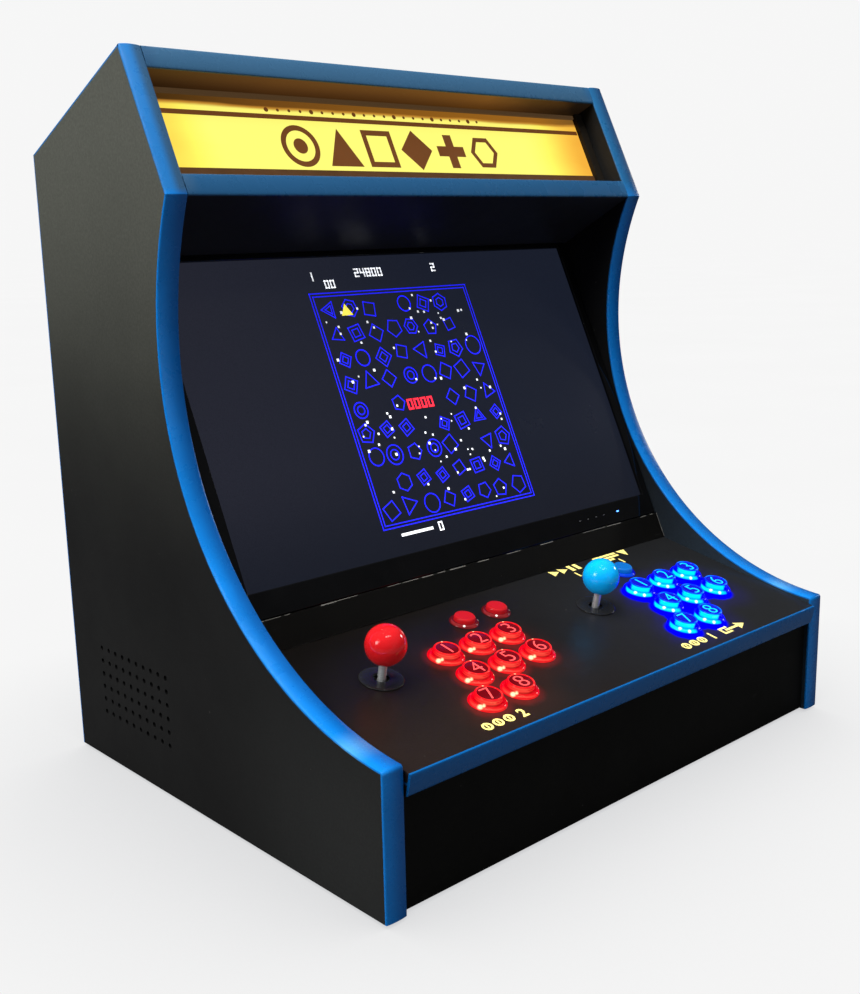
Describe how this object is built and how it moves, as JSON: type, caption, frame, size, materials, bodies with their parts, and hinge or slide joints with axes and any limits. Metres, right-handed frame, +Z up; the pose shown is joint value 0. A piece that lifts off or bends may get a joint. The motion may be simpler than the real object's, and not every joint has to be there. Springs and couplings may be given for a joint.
{
  "type": "bartop arcade cabinet",
  "caption": "Countertop two-player arcade cabinet: curved side panels, tilted screen, lit marquee box, sloped deck with joysticks and push buttons, hinged rear door.",
  "frame": {"origin": "on the table plane, at the level of the soles of the rubber feet, under the middle of the cabinet's overall box", "axes": "+X to the right of a player standing in front, +Y towards the rear door, +Z up"},
  "size_m": [0.59, 0.4684, 0.643],
  "materials": {
    "black_laminate": "satin black laminate over board",
    "blue_edge": "glossy blue T-moulding",
    "raw_board": "bare fibreboard",
    "bezel_plastic": "gloss black",
    "lcd_glass": "glossy dark display face, lit",
    "shell_plastic": "fine-textured black",
    "marquee_acrylic": "back-lit translucent yellow",
    "black_strip": "satin",
    "lamp_white": "diffusing white",
    "red_clear": "translucent red, lit from inside",
    "blue_clear": "translucent blue, lit from inside",
    "ball_red": "polished",
    "ball_blue": "polished",
    "bright_steel": "polished plated steel",
    "zinc_steel": "zinc plated",
    "switch_plastic": "moulded",
    "black_washer": "smooth black",
    "speaker_frame": "black paint",
    "circuit_green": "solder-masked board",
    "psu_metal": "grey",
    "foot_rubber": "matt",
    "cable_sheath": "smooth"
  },
  "bodies": {
    "cabinet": {"side_panel_left": "black_laminate", "side_panel_right": "black_laminate", "edge_trims": "blue_edge", "base_panel": "raw_board", "front_panel": "black_laminate", "control_panel": "black_laminate", "panel_trims": "blue_edge", "monitor_sill": "black_laminate", "monitor_bezel": "bezel_plastic", "monitor_screen": "lcd_glass", "monitor_rear_shell": "shell_plastic", "marquee_soffit": "black_laminate", "top_panel": "black_laminate", "marquee_panel": "marquee_acrylic", "marquee_retainers": "black_strip", "marquee_light": "lamp_white", "rear_rails": "black_laminate", "door_hinge_frame_leaves": "zinc_steel", "red_button_housings": "red_clear", "blue_button_housings": "blue_clear", "microswitches": "switch_plastic", "joystick_bases": "zinc_steel", "joystick_washers": "black_washer", "speakers": "speaker_frame", "computer_board": "circuit_green", "encoder_boards": "circuit_green", "power_supply": "psu_metal", "rubber_feet": "foot_rubber", "frame_battens": "raw_board", "screws": "zinc_steel", "wiring_harness": "cable_sheath"},
    "red_button_1": {"red_button_1": "red_clear"},
    "red_button_2": {"red_button_2": "red_clear"},
    "red_button_3": {"red_button_3": "red_clear"},
    "red_button_4": {"red_button_4": "red_clear"},
    "red_button_5": {"red_button_5": "red_clear"},
    "red_button_6": {"red_button_6": "red_clear"},
    "red_button_7": {"red_button_7": "red_clear"},
    "red_button_8": {"red_button_8": "red_clear"},
    "blue_button_1": {"blue_button_1": "blue_clear"},
    "blue_button_2": {"blue_button_2": "blue_clear"},
    "blue_button_3": {"blue_button_3": "blue_clear"},
    "blue_button_4": {"blue_button_4": "blue_clear"},
    "blue_button_5": {"blue_button_5": "blue_clear"},
    "blue_button_6": {"blue_button_6": "blue_clear"},
    "blue_button_7": {"blue_button_7": "blue_clear"},
    "blue_button_8": {"blue_button_8": "blue_clear"},
    "red_button_start": {"red_button_start": "red_clear"},
    "red_button_select": {"red_button_select": "red_clear"},
    "blue_button_start": {"blue_button_start": "blue_clear"},
    "blue_button_select": {"blue_button_select": "blue_clear"},
    "joystick_left_ring": {"joystick_left_pivot_ring": "zinc_steel"},
    "joystick_left_stick": {"joystick_left_shaft": "bright_steel", "joystick_left_ball": "ball_red"},
    "joystick_right_ring": {"joystick_right_pivot_ring": "zinc_steel"},
    "joystick_right_stick": {"joystick_right_shaft": "bright_steel", "joystick_right_ball": "ball_blue"},
    "rear_door": {"rear_door": "black_laminate", "door_hinge_door_leaves": "zinc_steel"},
    "door_latch": {"door_turn_latch": "zinc_steel"}
  },
  "joints": [
    {"name": "red_button_1_press", "type": "slide", "parent": "cabinet", "child": "red_button_1", "axis": [0, 0.2079, -0.9781], "range_m": [0, 0.003]},
    {"name": "red_button_2_press", "type": "slide", "parent": "cabinet", "child": "red_button_2", "axis": [0, 0.2079, -0.9781], "range_m": [0, 0.003]},
    {"name": "red_button_3_press", "type": "slide", "parent": "cabinet", "child": "red_button_3", "axis": [0, 0.2079, -0.9781], "range_m": [0, 0.003]},
    {"name": "red_button_4_press", "type": "slide", "parent": "cabinet", "child": "red_button_4", "axis": [0, 0.2079, -0.9781], "range_m": [0, 0.003]},
    {"name": "red_button_5_press", "type": "slide", "parent": "cabinet", "child": "red_button_5", "axis": [0, 0.2079, -0.9781], "range_m": [0, 0.003]},
    {"name": "red_button_6_press", "type": "slide", "parent": "cabinet", "child": "red_button_6", "axis": [0, 0.2079, -0.9781], "range_m": [0, 0.003]},
    {"name": "red_button_7_press", "type": "slide", "parent": "cabinet", "child": "red_button_7", "axis": [0, 0.2079, -0.9781], "range_m": [0, 0.003]},
    {"name": "red_button_8_press", "type": "slide", "parent": "cabinet", "child": "red_button_8", "axis": [0, 0.2079, -0.9781], "range_m": [0, 0.003]},
    {"name": "blue_button_1_press", "type": "slide", "parent": "cabinet", "child": "blue_button_1", "axis": [0, 0.2079, -0.9781], "range_m": [0, 0.003]},
    {"name": "blue_button_2_press", "type": "slide", "parent": "cabinet", "child": "blue_button_2", "axis": [0, 0.2079, -0.9781], "range_m": [0, 0.003]},
    {"name": "blue_button_3_press", "type": "slide", "parent": "cabinet", "child": "blue_button_3", "axis": [0, 0.2079, -0.9781], "range_m": [0, 0.003]},
    {"name": "blue_button_4_press", "type": "slide", "parent": "cabinet", "child": "blue_button_4", "axis": [0, 0.2079, -0.9781], "range_m": [0, 0.003]},
    {"name": "blue_button_5_press", "type": "slide", "parent": "cabinet", "child": "blue_button_5", "axis": [0, 0.2079, -0.9781], "range_m": [0, 0.003]},
    {"name": "blue_button_6_press", "type": "slide", "parent": "cabinet", "child": "blue_button_6", "axis": [0, 0.2079, -0.9781], "range_m": [0, 0.003]},
    {"name": "blue_button_7_press", "type": "slide", "parent": "cabinet", "child": "blue_button_7", "axis": [0, 0.2079, -0.9781], "range_m": [0, 0.003]},
    {"name": "blue_button_8_press", "type": "slide", "parent": "cabinet", "child": "blue_button_8", "axis": [0, 0.2079, -0.9781], "range_m": [0, 0.003]},
    {"name": "red_button_start_press", "type": "slide", "parent": "cabinet", "child": "red_button_start", "axis": [0, 0.2079, -0.9781], "range_m": [0, 0.003]},
    {"name": "red_button_select_press", "type": "slide", "parent": "cabinet", "child": "red_button_select", "axis": [0, 0.2079, -0.9781], "range_m": [0, 0.003]},
    {"name": "blue_button_start_press", "type": "slide", "parent": "cabinet", "child": "blue_button_start", "axis": [0, 0.2079, -0.9781], "range_m": [0, 0.003]},
    {"name": "blue_button_select_press", "type": "slide", "parent": "cabinet", "child": "blue_button_select", "axis": [0, 0.2079, -0.9781], "range_m": [0, 0.003]},
    {"name": "joystick_left_fore_aft", "type": "hinge", "parent": "cabinet", "child": "joystick_left_ring", "pos_m": [-0.2045, -0.11986, 0.12755], "axis": [1, 0, 0], "range_deg": [-8, 8]},
    {"name": "joystick_left_side_to_side", "type": "hinge", "parent": "joystick_left_ring", "child": "joystick_left_stick", "pos_m": [-0.2045, -0.11986, 0.12755], "axis": [0, 0.9781, 0.2079], "range_deg": [-8, 8]},
    {"name": "joystick_right_fore_aft", "type": "hinge", "parent": "cabinet", "child": "joystick_right_ring", "pos_m": [0.0645, -0.11986, 0.12755], "axis": [1, 0, 0], "range_deg": [-8, 8]},
    {"name": "joystick_right_side_to_side", "type": "hinge", "parent": "joystick_right_ring", "child": "joystick_right_stick", "pos_m": [0.0645, -0.11986, 0.12755], "axis": [0, 0.9781, 0.2079], "range_deg": [-8, 8]},
    {"name": "rear_door_hinge", "type": "hinge", "parent": "cabinet", "child": "rear_door", "pos_m": [0, 0.22975, 0.07075], "axis": [-1, 0, 0], "range_deg": [0, 95]},
    {"name": "door_latch_turn", "type": "hinge", "parent": "rear_door", "child": "door_latch", "pos_m": [0, 0.22725, 0.452], "axis": [0, -1, 0], "range_deg": [0, 90]}
  ]
}
